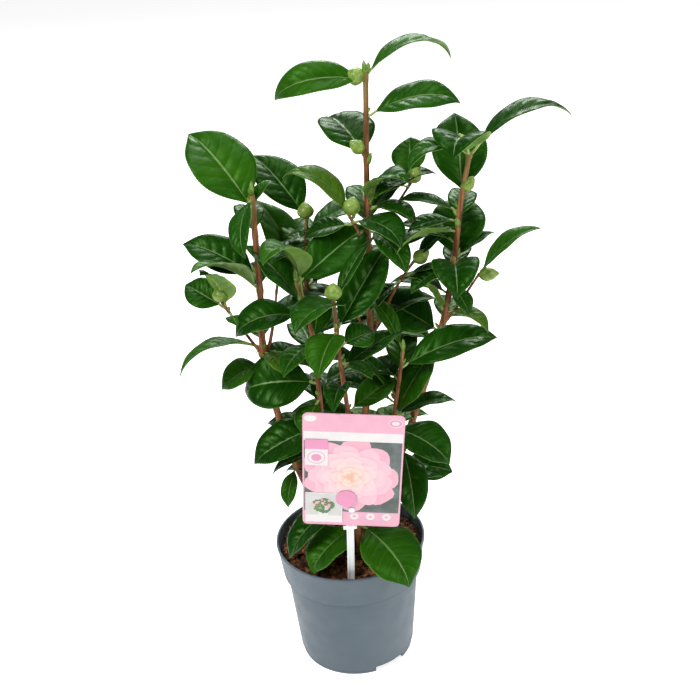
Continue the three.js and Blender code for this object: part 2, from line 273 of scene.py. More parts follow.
def bark():
    """Thin reddish-brown bark with pale streaks up the stem, greener on the young growth at the tips."""
    surface = Surface("bark", specular_ior_level=0.2)
    streak = surface.grain(260, 4, (1, 1, 0.12), 0.4)
    fleck = surface.grain(1400, 3)
    streaks = surface.stretch_to(streak, 0.35, 0.65)
    brown = surface.mix(streaks, rgb(0.095, 0.034, 0.011), rgb(0.32, 0.135, 0.052))
    brown = surface.mix(surface.stretch_to(fleck, 0.58, 0.75, 0, 0.5), brown, rgb(0.36, 0.21, 0.12))
    young = surface.stretch_to(surface.attribute("share"), 0.9, 1.0, 0, 0.55)
    surface.set("Base Color", surface.mix(young, brown, rgb(0.20, 0.17, 0.05)))
    surface.rough(fleck, 0.55, 0.75, 0.3, 0.7)
    surface.bump(streak * 0.7 + fleck * 0.3, 0.6, 0.5)
    return surface.material


def bud_scale(name, deep, pale):
    """Smooth overlapping bud scales, yellow-green, with a soft gloss."""
    surface = Surface(name)
    surface.tone(surface.grain(180), deep, pale)
    surface.rough(surface.grain(600), 0.32, 0.46)
    surface.bump(surface.grain(1500, 2), 0.2, 0.1)
    return surface.material


def chip_wood(name, dark, light):
    """Bark compost: dry, fibrous and dull."""
    surface = Surface(name, specular_ior_level=0.2)
    fibre = surface.grain(700, 4, (1, 0.3, 1), 0.6)
    surface.tone(fibre, dark, light)
    surface.rough(fibre, 0.8, 0.95)
    surface.bump(fibre, 0.8, 0.8)
    return surface.material


def dusty(surface, colour, worn):
    """A plastic's colour, clouded with a little dust."""
    return surface.mix(surface.stretch_to(surface.grain(14, 4), 0.4, 0.75) * 0.35, colour, worn)


def moulded_grain(surface, rough):
    """The gloss and the faint grain of moulded plastic."""
    surface.rough(surface.grain(60, 4), rough - 0.05, rough + 0.07, 0.3, 0.7)
    surface.bump(surface.grain(2600, 2), 0.15, 0.12)


def stake_plastic():
    surface = Surface("stake_plastic", specular_ior_level=0.4)
    surface.set("Base Color", dusty(surface, rgb(0.70, 0.72, 0.71), rgb(0.60, 0.62, 0.60)))
    moulded_grain(surface, 0.42)
    return surface.material


def pot_plastic():
    """The pot's plastic, with a painted shadow in a dark band under its collar and a painted highlight in a
    pale band along its foot line.
    """
    surface = Surface("pot_plastic", specular_ior_level=0.35)
    height = surface.value("ShaderNodeSeparateXYZ", "Z", {}, {"Vector": surface.place})

    def band(level, below, above):
        """1 at a level, fading to 0 over the millimetres below it and above it, each from and to."""
        edges = [(level + offset) * MM for offset in (*below, *above)]
        return surface.stretch_to(height, *edges[:2]) * surface.stretch_to(height, *edges[2:], 1, 0)

    colour = dusty(surface, rgb(0.072, 0.100, 0.122), rgb(0.115, 0.143, 0.165))
    # painted shadow: a dark band just under the collar, where the collar's ledge casts shade
    painted_collar_shadow = band(POT_HEIGHT - COLLAR_HEIGHT, (-3.5, -0.8), (-0.4, 0.2))
    colour = surface.mix(painted_collar_shadow * 0.75, colour, rgb(0.020, 0.026, 0.032))
    # painted highlight: a pale band along the ridge at the foot
    painted_foot_highlight = band(FOOT_LINE, (-0.5, 0), (0.3, 1.0))
    surface.set("Base Color", surface.mix(painted_foot_highlight * 0.45, colour, rgb(0.25, 0.27, 0.29)))
    moulded_grain(surface, 0.50)
    return surface.material


def printed(name, colour, second=None):
    """Coated card with printed colour: smooth, with the least trace of its fibre."""
    surface = Surface(name, **PRINT_COAT)
    shade = tuple(c * 0.94 for c in colour[:3]) + (1.0,)
    surface.tone(surface.grain(80, 4), second or shade, colour)
    surface.rough(surface.grain(900), 0.34, 0.44)
    return surface.material


def petal_print(name, deep, pale):
    """A printed petal: deep at its root, pale at its rim."""
    surface = Surface(name, **PRINT_COAT)
    shade = surface.stretch_to(surface.attribute("share"), 0.25, 0.9) + (surface.grain(160) - 0.5) * 0.3
    surface.set("Base Color", surface.mix(shade, deep, pale))
    surface.rough(surface.grain(900), 0.34, 0.44)
    return surface.material


# Upper finishes, from dark to old: deep and fresh tones, the veins' tone (also the painted glow along the
# edge), and roughness.
UPPER_FINISHES = [
    ("leaf_dark", (0.0028, 0.029, 0.0004), (0.0060, 0.047, 0.0006), (0.040, 0.130, 0.010), 0.34),
    ("leaf_middle", (0.0048, 0.043, 0.0005), (0.0095, 0.063, 0.0008), (0.050, 0.150, 0.012), 0.36),
    ("leaf_fresh", (0.0090, 0.058, 0.0008), (0.0180, 0.084, 0.0012), (0.070, 0.175, 0.015), 0.38),
    ("leaf_old", (0.030, 0.085, 0.003), (0.055, 0.120, 0.005), (0.120, 0.220, 0.030), 0.42),
]
LEAF_TOPS = [leaf_upper(name, *(rgb(*tone) for tone in tones), rough)
             for name, *tones, rough in UPPER_FINISHES]
TONE_SHARES = [0.42, 0.36, 0.2, 0.02]  # how many of the leaves take each upper finish
LEAF_UNDER = leaf_under("leaf_under", rgb(0.085, 0.180, 0.025), rgb(0.150, 0.260, 0.040))
LEAF_EDGE = stalk_skin("leaf_rib", rgb(0.16, 0.27, 0.06), rgb(0.28, 0.40, 0.11), 90, 300)
LEAF_RIB = stalk_skin("leaf_vein", rgb(0.055, 0.13, 0.022), rgb(0.12, 0.22, 0.045), 90, 300)
BARK = bark()
PETIOLE = stalk_skin("petiole_skin", rgb(0.17, 0.25, 0.05), rgb(0.32, 0.40, 0.10), 150, 500)
BUD = bud_scale("bud_green", rgb(0.10, 0.19, 0.016), rgb(0.22, 0.32, 0.045))
BUD_TIP = bud_scale("bud_tip", rgb(0.07, 0.17, 0.015), rgb(0.16, 0.25, 0.03))
CHIPS = [
    chip_wood("chip_brown", rgb(0.018, 0.007, 0.003), rgb(0.075, 0.026, 0.011)),
    chip_wood("chip_red", rgb(0.050, 0.015, 0.006), rgb(0.20, 0.062, 0.024)),
    chip_wood("chip_pale", rgb(0.12, 0.045, 0.018), rgb(0.34, 0.140, 0.060)),
]
PEAT = chip_wood("peat", rgb(0.010, 0.006, 0.004), rgb(0.030, 0.015, 0.009))
POT = pot_plastic()
STAKE = stake_plastic()
CARD_PINK = printed("card_pink", rgb(0.66, 0.33, 0.43))
CARD_WHITE = printed("card_white", rgb(0.64, 0.62, 0.61))
CARD_DARK = printed("card_dark", rgb(0.10, 0.13, 0.12), rgb(0.04, 0.055, 0.05))
CARD_GREY = printed("card_grey", rgb(0.50, 0.50, 0.48))
CARD_ROSE = printed("card_rose", rgb(0.62, 0.23, 0.38))


# ---------------------------------------------------------------- meshes

def piece(name, mesh, materials, *nodes, slot):
    """A finished mesh as a piece that rides on the plant and stands for its CAD nodes."""
    for material in materials:
        if material.name not in mesh.materials:
            mesh.materials.append(material)
    made = linked(name, mesh)
    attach(made, "root")
    if nodes:
        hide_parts(*nodes)
    return made


def smooth_mesh(name, points, faces, kinds=None):
    """A mesh from points in millimetres and faces, each with the number of its material."""
    mesh = bpy.data.meshes.new(name)
    mesh.from_pydata((np.asarray(points) * MM).tolist(), [], faces)
    mesh.polygons.foreach_set("use_smooth", [True] * len(mesh.polygons))
    if kinds is not None:
        mesh.polygons.foreach_set("material_index", kinds)
    mesh.update()
    return mesh


class Heap:
    """Small closed shapes gathered into one mesh, each point with marks such as its share of a length."""

    def __init__(self):
        self.points, self.faces, self.kinds, self.marks, self.count = [], [], [], {}, 0

    def add(self, points, faces, kinds, **marks):
        self.points.append(np.asarray(points, float))
        self.faces += [tuple(i + self.count for i in face) for face in faces]
        self.kinds += kinds
        for name, values in marks.items():
            self.marks.setdefault(name, []).extend(np.ravel(values).tolist())
        self.count += len(points)

    def mesh(self, name):
        made = smooth_mesh(name, np.vstack(self.points), self.faces, self.kinds)
        for mark, values in self.marks.items():
            made.attributes.new(mark, "FLOAT", "POINT").data.foreach_set("value", values)
        return made


def sharpened(mesh, degrees=32):
    """Smooth faces, with the edges that turn by more than an angle kept sharp."""
    mesh.polygons.foreach_set("use_smooth", [True] * len(mesh.polygons))
    mesh.set_sharp_from_angle(angle=math.radians(degrees))
    return mesh


def turned(outline, segments):
    """A closed solid turned round the upright axis from (radius, height) points, from pole to pole."""
    angles = np.arange(segments) * 2 * math.pi / segments
    rings, points = [], []
    for radius, height in outline:
        if radius == 0:
            rings.append([len(points)])
            points.append((0, 0, height))
        else:
            rings.append(list(range(len(points), len(points) + segments)))
            points += [(radius * math.cos(a), radius * math.sin(a), height) for a in angles]
    faces = []
    for low, high in zip(rings, rings[1:]):
        for k in range(segments):
            after = (k + 1) % segments
            if len(low) == 1:
                faces.append((low[0], high[after], high[k]))
            elif len(high) == 1:
                faces.append((low[k], low[after], high[0]))
            else:
                faces.append((low[k], low[after], high[after], high[k]))
    return points, faces


def hermite(t, first, second, leaving, arriving):
    """A smooth step from the first to the second, with the slopes that it leaves and arrives with."""
    return ((2 * t**3 - 3 * t**2 + 1) * first + (t**3 - 2 * t**2 + t) * leaving
            + (3 * t**2 - 2 * t**3) * second + (t**3 - t**2) * arriving)


def lofted(heap, rings, kind, shares=None):
    """A closed skin over rings of points, all of one count, with flat ends."""
    count = len(rings[0])
    faces = []
    for i in range(len(rings) - 1):
        for k in range(count):
            after = (k + 1) % count
            faces.append((i * count + k, i * count + after, (i + 1) * count + after, (i + 1) * count + k))
    faces.append(tuple(reversed(range(count))))
    faces.append(tuple(range((len(rings) - 1) * count, len(rings) * count)))
    shares = np.zeros(count * len(rings)) if shares is None else shares
    heap.add(np.vstack(rings), faces, [kind] * len(faces), share=shares)


def new_tree(name, inputs, output):
    """A geometry tree with its named inputs and its one output: the tree, its net and the inputs' sockets."""
    tree = bpy.data.node_groups.new(name, "GeometryNodeTree")
    for label, kind in inputs.items():
        tree.interface.new_socket(label, in_out="INPUT", socket_type="NodeSocket" + kind)
    tree.interface.new_socket(output, in_out="OUTPUT", socket_type="NodeSocketGeometry")
    net = Net(tree)
    return tree, net, net.node("NodeGroupInput").outputs


def grown(name, data, tree, **inputs):
    """The plain mesh that a geometry tree makes of a mesh or curve, with the values of its inputs."""
    thing = linked(name, data)
    modifier = thing.modifiers.new("tree", "NODES")
    modifier.node_group = tree
    for item in tree.interface.items_tree:
        if item.in_out == "INPUT" and item.name in inputs:
            modifier[item.identifier] = inputs[item.name]
    return baked(thing)


def baked(thing):
    """A plain mesh of an object with its modifiers applied; the object is removed."""
    depsgraph = bpy.context.evaluated_depsgraph_get()
    mesh = bpy.data.meshes.new_from_object(thing.evaluated_get(depsgraph), depsgraph=depsgraph)
    data = thing.data
    bpy.data.objects.remove(thing)
    if isinstance(data, bpy.types.Mesh):
        bpy.data.meshes.remove(data)
    return mesh


# ---------------------------------------------------------------- limbs

LIMB_SIDES = 6  # corners of each level ring of a CAD limb
ROOT_FLARE = 1.35  # a bough's girth where it leaves its stem, to its girth further on


class Line:
    """A limb's centre line, taken from the level rings of its CAD node."""

    def __init__(self, node):
        corners = {tuple(np.round(np.array(v.co) / MM, 2)) for v in frame["nodes"][node].data.vertices}
        levels = {}
        for x, y, z in corners:
            levels.setdefault(round(z, 1), []).append((x, y, z))
        rings = [np.array(ring) for _, ring in sorted(levels.items()) if len(ring) == LIMB_SIDES]
        self.knots = np.array([ring.mean(0) for ring in rings])
        spread = [np.linalg.norm((ring - ring.mean(0))[:, :2], axis=1) for ring in rings]
        self.radii = np.array([radius.mean() for radius in spread])

    def rooted_in(self, parent):
        """Starts the line at the centre of the limb that it leaves."""
        step = self.knots[1][2] - self.knots[0][2]
        foot = parent.at(self.knots[0][2] - step)
        self.knots = np.vstack([foot, self.knots])
        self.radii = np.append(self.radii[0] * ROOT_FLARE, self.radii)

    def at(self, height):
        """The point of the line at a height: a smooth curve through the ring centres."""
        z = self.knots[:, 2]
        height = float(np.clip(height, z[0], z[-1]))
        k = int(np.clip(np.searchsorted(z, height) - 1, 0, len(z) - 2))
        span = z[k + 1] - z[k]
        return hermite((height - z[k]) / span, self.knots[k], self.knots[k + 1],
                       self.slope(k) * span, self.slope(k + 1) * span)

    def slope(self, k):
        low, high = max(k - 1, 0), min(k + 1, len(self.knots) - 1)
        return (self.knots[high] - self.knots[low]) / (self.knots[high][2] - self.knots[low][2])

    def radius(self, height):
        return float(np.interp(height, self.knots[:, 2], self.radii))

    def samples(self, step):
        low, high = self.knots[0][2], self.knots[-1][2]
        return np.linspace(low, high, max(4, int((high - low) / step)))


# Every shoot: the limb that it leaves if it is a side bough; its leaves as height, heading (degrees from
# +X round towards +Y), rise, length, width, and where they aren't the usual, droop, roll, fold and petiole,
# as in the CAD; a spiral (from, to, count, first heading, length, rise) that fills its hidden side; and the
# CAD masses that they stand for.
SHOOTS = {
    "centre": dict(
        leaves=[
            (455, 310, -10, 52, 30, 60), (476, 350, 0, 44, 32, 55), (470, 30, 35, 44, 26, 20),
            (474, 330, 15, 40, 16, 50), (478, 330, 70, 52, 40, 100), (520, 125, 42, 62, 54, 45),
            (558, 345, 28, 80, 34, 65, 30, 8, 10), (590, 195, 14, 84, 33, 75, -42, 18),
            (594, 15, 41, 87, 30, 92)],
        spiral=(190, 480, 26, 20, 74, 15),
        masses=["centre_low", "centre_heart", "centre_shoulder", "crown_neck", "crown_top"]),
    "right": dict(
        leaves=[
            (203, 345, 5, 50, 34, 30, 30), (222, 275, -5, 76, 34, 75), (335, 220, -34, 66, 40, 20),
            (350, 170, 35, 66, 54, 20, -25), (367, 25, -12, 48, 28, 50), (370, 200, 65, 52, 34, 30),
            (372, 320, 15, 46, 22, 70), (400, 300, -30, 28, 20, 20), (419, 267, 22, 52, 46, 85, 0, 30),
            (422, 205, -15, 44, 30, 20), (422, 75, 42, 66, 52, 15), (424, 20, 35, 40, 18, 30),
            (452, 195, 8, 58, 32, 40, 25), (470, 168, 22, 50, 26, 25), (462, 190, 6, 42, 26, 25),
            (484, 85, 58, 74, 50, 15), (522, 5, 47, 94, 32, 78, 0, 15, 14),
            (522, 242, 62, 50, 52, 125, 0, 20), (524, 200, 32, 62, 26, 90)],
        spiral=(310, 460, 16, 75, 60, 10),
        masses=["right_foot", "right_heart", "right_shoulder", "right_apex"]),
    "left": dict(
        leaves=[
            (215, 245, -35, 38, 17, 40), (333, 188, -16, 44, 34, 30, -15), (345, 300, 10, 36, 20, 60),
            (350, 200, 25, 86, 32, 68, 10), (408, 205, 51, 76, 36, 53, 25),
            (420, 165, 34, 72, 38, 25, -30), (484, 140, 50, 88, 58, 20, -20), (484, 40, 64, 30, 14, 80),
            (495, 251, -14, 60, 24, 60, 25)],
        spiral=(300, 460, 16, 100, 62, 10),
        masses=["left_foot", "left_heart", "left_shoulder", "left_apex"]),
    "front": dict(
        leaves=[
            (140, 200, -2, 52, 36, 30), (158, 215, -5, 62, 46, 45), (164, 310, -8, 76, 62, 48, 0, 6, 13),
            (297, 25, 25, 52, 30, 20, 20), (325, 258, 30, 46, 26, 75, 0, 35),
            (345, 25, 25, 62, 30, 15, 10), (385, 40, 45, 86, 38, 15, 35),
            (352, 325, -5, 28, 20, 30, 0, 25), (368, 30, 10, 34, 28, 20, 30),
            (385, 252, 0, 56, 37, 35, 0, 30), (415, 45, 45, 60, 16, 10)],
        masses=["front_foot", "front_low", "front_top"]),
    "inner": dict(
        leaves=[
            (266, 322, -3, 62, 46, 45, 10), (300, 150, 55, 50, 22, 20), (332, 0, 28, 92, 38, 45, 25),
            (318, 120, 10, 44, 32, 20), (350, 130, 60, 58, 18, 40)],
        spiral=(200, 340, 10, 10, 64, 15),
        masses=["inner_low", "inner_top"]),
    "middle": dict(
        leaves=[
            (178, 219, -12, 68, 36, 40), (240, 190, 0, 52, 24, 35), (270, 200, -8, 71, 42, 35, -25),
            (300, 235, -30, 34, 30, 20), (317, 190, 14, 72, 52, 68, -45, 8), (360, 236, 6, 50, 24, 35),
            (389, 197, 16, 63, 38, 75, -25, 15, 13), (400, 150, 50, 72, 40, 20),
            (403, 222, 88, 68, 42, 132, 0, 15, 26), (422, 25, 32, 82, 42, 25, 40)],
        spiral=(210, 390, 13, 80, 64, 15),
        masses=["middle_foot", "middle_heart", "middle_top"]),
    "behind": dict(
        leaves=[
            (394, 128, 58, 92, 46, 15), (466, 137, 46, 75, 44, 18, -20)],
        spiral=(185, 450, 26, 30, 74, 10),
        masses=["back_low", "back_heart", "back_top"]),
    "low_right": dict(parent="right", leaves=[(411, 350, 56, 66, 28, 44, 12)], masses=["right_reach"]),
    "crook": dict(
        parent="centre",
        leaves=[(408, 340, 25, 36, 16, 20), (405, 195, -30, 36, 26, 20), (420, 15, 45, 44, 20, 20)],
        masses=["crook_tuft"]),
    "high_right": dict(
        parent="centre",
        leaves=[(490, 215, 20, 34, 16, 60), (494, 88, 60, 36, 34, 18, -20)],
        masses=["high_tuft"]),
    "low_left": dict(
        parent="left",
        leaves=[(392, 290, 0, 16, 16, 30), (397, 153, 24, 42, 30, 20, -40), (396, 212, 82, 48, 38, 58, 20)],
        masses=["left_reach"]),
    "left_fork": dict(parent="left", leaves=[(402, 70, 50, 50, 28, 20)], masses=["fork_tuft"]),
    "low_centre": dict(parent="centre", leaves=[(392, 228, 25, 68, 44, 60, 0, 18, 13)], masses=["low_tuft"]),
    "bud_shoot": dict(
        parent="centre",
        leaves=[(468, 322, 12, 54, 40, 70), (474, 165, 64, 74, 34, 90, -10),
                (466, 172, -8, 42, 28, 20, -20)],
        masses=["bud_tuft"]),
}

USUAL_LEAF = [40, 0, 15, 7]  # droop, roll, fold and petiole
SPIRAL_TURN = 144  # from leaf to leaf up a shoot: two fifths of a turn
HIDDEN_SIDE = (10, 170)  # the headings that a spiral fills


def limb_node(name):
    return ("bough_" if "parent" in SHOOTS[name] else "stem_") + name


LINES = {name: Line(limb_node(name)) for name in SHOOTS}
for name, shoot in SHOOTS.items():
    if "parent" in shoot:
        LINES[name].rooted_in(LINES[shoot["parent"]])


def leaf_rows(shoot):
    """A shoot's leaves with those of its spiral, a little uneven in length and steeper towards the tip."""
    rows = list(shoot["leaves"])
    if "spiral" in shoot:
        low, high, count, first, length, rise = shoot["spiral"]
        for i in range(count):
            share = i / (count - 1)
            heading = (first + SPIRAL_TURN * i) % 360
            size = length * (0.9 + 0.05 * ((i * 7) % 5))
            if HIDDEN_SIDE[0] <= heading <= HIDDEN_SIDE[1]:
                rows.append((low + (high - low) * share, heading, rise + 15 * share, size, size / 2))
    return rows


# ---------------------------------------------------------------- leaves

STATIONS = 65  # points along a leaf: one tooth of its edge every two
COLUMNS = np.array([-1, -0.84, -0.6, -0.36, -0.15, -0.035, 0.035, 0.15, 0.36, 0.6, 0.84, 1])  # across it
RIB_COLUMN = len(COLUMNS) // 2 - 1
RIB_REACH = 0.1  # the columns nearer than this carry the rib
BLADE, TOOTH, QUILT = 0.36, 0.3, 0.11  # the blade's thickness, its teeth, and the quilt's share of its width
RIB_DEPTH, RIB_GROOVE, THIN_EDGE = 0.75, 0.22, 0.14
FOOT_HALF, TIP_HALF = 0.7, 0.12  # half the width at a blade's foot and at its tip
TIP_CURL, MOST_TWIST = 26, 9  # in degrees
WAVES = (1.2, 2.3)  # how often the edge waves along a leaf
UPPER, UNDER, EDGE, RIB = range(4)  # the kinds of face
# Half the width at places along a leaf: a wedge at its base, widest below the middle, and a drawn-out tip.
OUTLINE = np.array([
    (0, 0.03), (0.05, 0.20), (0.12, 0.47), (0.2, 0.71), (0.3, 0.90), (0.4, 0.985), (0.47, 1.0), (0.56, 0.97),
    (0.66, 0.87), (0.76, 0.69), (0.84, 0.475), (0.9, 0.285), (0.95, 0.14), (0.98, 0.06), (1, 0.01)])


def width_share(s):
    """Half the width at a place along a leaf: a smooth curve through the outline."""
    places, widths = OUTLINE.T
    slopes = np.gradient(widths, places)
    k = np.clip(np.searchsorted(places, s) - 1, 0, len(places) - 2)
    span = places[k + 1] - places[k]
    return hermite((s - places[k]) / span, widths[k], widths[k + 1], slopes[k] * span, slopes[k + 1] * span)


def leaf_axes(heading, rise, roll):
    """The way a leaf points, its left side and its upper face, as unit vectors."""
    h, r, q = math.radians(heading), math.radians(rise), math.radians(roll)
    along = np.array([math.cos(r) * math.cos(h), math.cos(r) * math.sin(h), math.sin(r)])
    flat = np.array([-math.sin(h), math.cos(h), 0.0])
    up = np.cross(along, flat)
    side = flat * math.cos(q) + up * math.sin(q)
    face = up * math.cos(q) - flat * math.sin(q)
    return along, side, face


def leaf_skin():
    """The faces of a leaf and their kinds: an upper and an under skin, closed round the edge."""
    n, m = STATIONS, len(COLUMNS)
    index = np.arange(n * m).reshape(n, m)
    under = index + n * m
    faces, kinds = [], []
    for i in range(n - 1):
        for j in range(m - 1):
            faces.append((index[i, j], index[i + 1, j], index[i + 1, j + 1], index[i, j + 1]))
            faces.append((under[i, j], under[i, j + 1], under[i + 1, j + 1], under[i + 1, j]))
            kinds += [RIB, EDGE] if j == RIB_COLUMN else [UPPER, UNDER]
        faces.append((index[i, 0], under[i, 0], under[i + 1, 0], index[i + 1, 0]))
        faces.append((index[i, -1], index[i + 1, -1], under[i + 1, -1], under[i, -1]))
        kinds += [EDGE, EDGE]
    for j in range(m - 1):
        faces.append((index[0, j], index[0, j + 1], under[0, j + 1], under[0, j]))
        faces.append((index[-1, j], under[-1, j], under[-1, j + 1], index[-1, j + 1]))
        kinds += [EDGE, UNDER]
    return faces, kinds


LEAF_FACES, LEAF_KINDS = leaf_skin()


def leaf_midrib(base, axes, length, droop, petiole, rng):
    """The rib's points, and the blade's side and upper face at each, as it droops, twists and curls."""
    along, side, face = axes
    s = np.linspace(0, 1, STATIONS)[:, None]
    bend = math.radians(droop) * s**1.3 + math.radians(TIP_CURL) * s**6
    forward = along * np.cos(bend) - face * np.sin(bend)
    top = face * np.cos(bend) + along * np.sin(bend)
    twist = math.radians(rng.uniform(-MOST_TWIST, MOST_TWIST)) * s
    across = side * np.cos(twist) + top * np.sin(twist)
    top = top * np.cos(twist) - side * np.sin(twist)
    steps = np.vstack([np.zeros((1, 3)), np.cumsum(forward[:-1], axis=0)])
    midrib = base + along * petiole + steps * length / (STATIONS - 1)
    return midrib + across * rng.uniform(-0.05, 0.05) * length * s**2, across, top


def add_leaf(heap, base, row, tone, rng):
    """One leaf blade, closed, with its quilted veins, waved and toothed edge, and rib."""
    _, heading, rise, length, width, *rest = row
    droop, roll, fold, petiole = rest + USUAL_LEAF[len(rest):]
    axes = leaf_axes(heading, rise, roll)
    midrib, across, top = leaf_midrib(base, axes, length, droop, petiole, rng)
    s = np.linspace(0, 1, STATIONS)[:, None]
    t = COLUMNS[None, :]
    reach = np.abs(t)
    half = np.hypot(width / 2 * width_share(s), FOOT_HALF * (1 - s))
    half[-1] = TIP_HALF
    slope = math.radians(fold) * (1.35 - 0.55 * reach)
    wave = sum(rng.uniform(0.5, 1.1) * np.sin(2 * math.pi * (k * s + rng.uniform(0, 1) + 0.23 * np.sign(t)))
               for k in WAVES) * reach**2 * np.sin(math.pi * s)
    phase = VEINS * (s - VEIN_SLANT * reach**VEIN_SWEEP)
    relief = np.abs(np.sin(math.pi * phase))**0.8 * np.sin(math.pi * np.clip(reach * 1.02, 0, 1))**0.6
    relief = relief * QUILT * np.minimum(half, 14) * np.clip(6 * (1 - s), 0, 1) * np.clip(6 * s, 0, 1)
    groove = np.where(reach < RIB_REACH, RIB_GROOVE, 0.0) * np.clip(8 * (1 - s), 0, 1)
    toothed = (np.arange(STATIONS)[:, None] % 2 == 1) & (reach == 1)
    teeth = np.where(toothed, TOOTH, 0.0) * np.clip(5 * s, 0, 1)

    out = np.sign(t) * (reach * half + teeth) * np.cos(slope)
    lift = reach * half * np.sin(slope) + wave * width / 40 + relief - groove
    upper = midrib[:, None, :] + across[:, None, :] * out[:, :, None] + top[:, None, :] * lift[:, :, None]
    rib = np.where(reach < RIB_REACH, RIB_DEPTH, 0.0) * (1 - 0.75 * s) + np.where(reach == 1, -THIN_EDGE, 0.0)
    lower = upper - top[:, None, :] * (BLADE + rib + groove)[:, :, None]

    slots = (tone, len(LEAF_TOPS), len(LEAF_TOPS) + 1, len(LEAF_TOPS) + 2)
    marks = {name: np.broadcast_to(share, (2, *lift.shape)) for name, share in (("along", s), ("across", t))}
    heap.add(np.vstack([upper.reshape(-1, 3), lower.reshape(-1, 3)]), LEAF_FACES,
             [slots[kind] for kind in LEAF_KINDS], **marks)
    return midrib[0], axes[0]


def foliage():
    """The leaves of each shoot as one piece, and the petioles' routes."""
    routes = []
    for number, (name, shoot) in enumerate(SHOOTS.items()):
        rng = np.random.default_rng(SEED + number)
        heap = Heap()
        for row in leaf_rows(shoot):
            base = LINES[name].at(row[0])
            tone = int(rng.choice(len(LEAF_TOPS), p=TONE_SHARES))
            start, along = add_leaf(heap, base, row, tone, rng)
            routes.append((base, along, start, row[4]))
        piece(f"foliage_{name}", heap.mesh(f"foliage_{name}"), [*LEAF_TOPS, LEAF_UNDER, LEAF_EDGE, LEAF_RIB],
              *[f"leaves_{mass}" for mass in shoot["masses"]], slot="foliage")
    return routes


# ---------------------------------------------------------------- tubes along routes

def tube_tree(name, material):
    """Geometry nodes: a round section swept along every route, roughened, with its share along the route."""
    tree, net, given = new_tree(
        name, {"Routes": "Geometry", "Sides": "Int", "Relief": "Float", "Grain": "Float"}, "Tubes")
    share = net.node("GeometryNodeSplineParameter").outputs["Factor"]
    tubes = net.shaped("StoreNamedAttribute", given["Routes"], {"data_type": "FLOAT", "domain": "POINT"},
                       Name="share", Value=share)
    section = net.node("GeometryNodeCurvePrimitiveCircle", {}, {"Resolution": given["Sides"], "Radius": 1.0})
    radius = net.node("GeometryNodeInputRadius").outputs[0]
    tubes = net.shaped("CurveToMesh", tubes, Profile_Curve=section.outputs[0], Scale=radius, Fill_Caps=True)
    place = net.node("GeometryNodeInputPosition").outputs[0]
    rough = net.value("ShaderNodeTexNoise", "Fac", {}, {
        "Vector": net.vector("MULTIPLY", place, second=(1, 1, 0.25)), "Scale": given["Grain"], "Detail": 3.0})
    height = (rough - 0.5) * Value(net, given["Relief"])
    normal = net.node("GeometryNodeInputNormal").outputs[0]
    tubes = net.shaped("SetPosition", tubes, Offset=net.vector("SCALE", normal, scale=height))
    tubes = net.shaped("SetShadeSmooth", tubes)
    tubes = net.shaped("RealizeInstances", tubes)
    tubes = net.shaped("SetMaterial", tubes, Material=material)
    net.node("NodeGroupOutput", {}, {"Tubes": tubes})
    return tree


def tubes(name, routes, material, sides, relief, grain):
    """Tubes along routes, each a list of points and radii in millimetres; the grain is per metre."""
    curve = bpy.data.curves.new(name, "CURVE")
    curve.dimensions = "3D"
    for points, radii in routes:
        spline = curve.splines.new("POLY")
        spline.points.add(len(points) - 1)
        for knot, point, radius in zip(spline.points, points, radii):
            knot.co = (*(np.asarray(point) * MM), 1.0)
            knot.radius = radius * MM
    tree = tube_tree(name + "_nodes", material)
    mesh = grown(name, curve, tree, Sides=sides, Relief=relief * MM, Grain=grain)
    mesh.polygons.foreach_set("use_smooth", [True] * len(mesh.polygons))
    return mesh


def stems():
    """Every limb from the soil to its tip, thicker by a little where a leaf leaves it."""
    step, knot_reach, knot_swell = 2.5, 2.6, 0.35
    routes = []
    for name, shoot in SHOOTS.items():
        line = LINES[name]
        heights = line.samples(step)
        knots = [row[0] for row in leaf_rows(shoot)]
        swell = sum(np.exp(-((heights - knot) / knot_reach)**2) for knot in knots) * knot_swell
        radii = np.array([line.radius(h) for h in heights]) + swell
        routes.append(([line.at(h) for h in heights], radii))
    mesh = tubes("limbs", routes, BARK, 22, 0.7, 190)
    piece("limbs", mesh, [BARK], *[limb_node(name) for name in SHOOTS], slot="bark")


def petioles(routes):
    """The short stalk of each leaf, sagging a little from the stem to the foot of its blade."""
    sag = np.array([0, 0, 0.9])
    into_blade = 1.6
    stalks = []
    for base, along, start, width in routes:
        points = [base + (start - base) * share - sag * math.sin(math.pi * share)
                  for share in np.linspace(0, 1, 6)]
        points.append(start + along * into_blade)
        thick = 0.75 + width / 90
        stalks.append((points, [thick * share for share in (1.3, 1.15, 1, 1, 1, 0.95, 0.7)]))
    mesh = tubes("petioles", stalks, PETIOLE, 10, 0.12, 600)
    piece("petioles", mesh, [PETIOLE], slot="foliage")


stalk_routes = foliage()
stems()
petioles(stalk_routes)


# ---------------------------------------------------------------- buds

GOLDEN_ANGLE = 137.5
CORE_PLACES = (0.004, 0.03, 0.1, 0.22, 0.38, 0.54, 0.7, 0.82, 0.9, 0.95, 0.98, 0.995)  # rings along a bud
CORE_SIDES = 16
SCALE_SKIN = 0.2  # thickness of one scale


def egg(s, width):
    """The girth of a bud at a place along it, fattest below its middle."""
    return width / 2 * np.sin(math.pi * s**0.82)**0.72


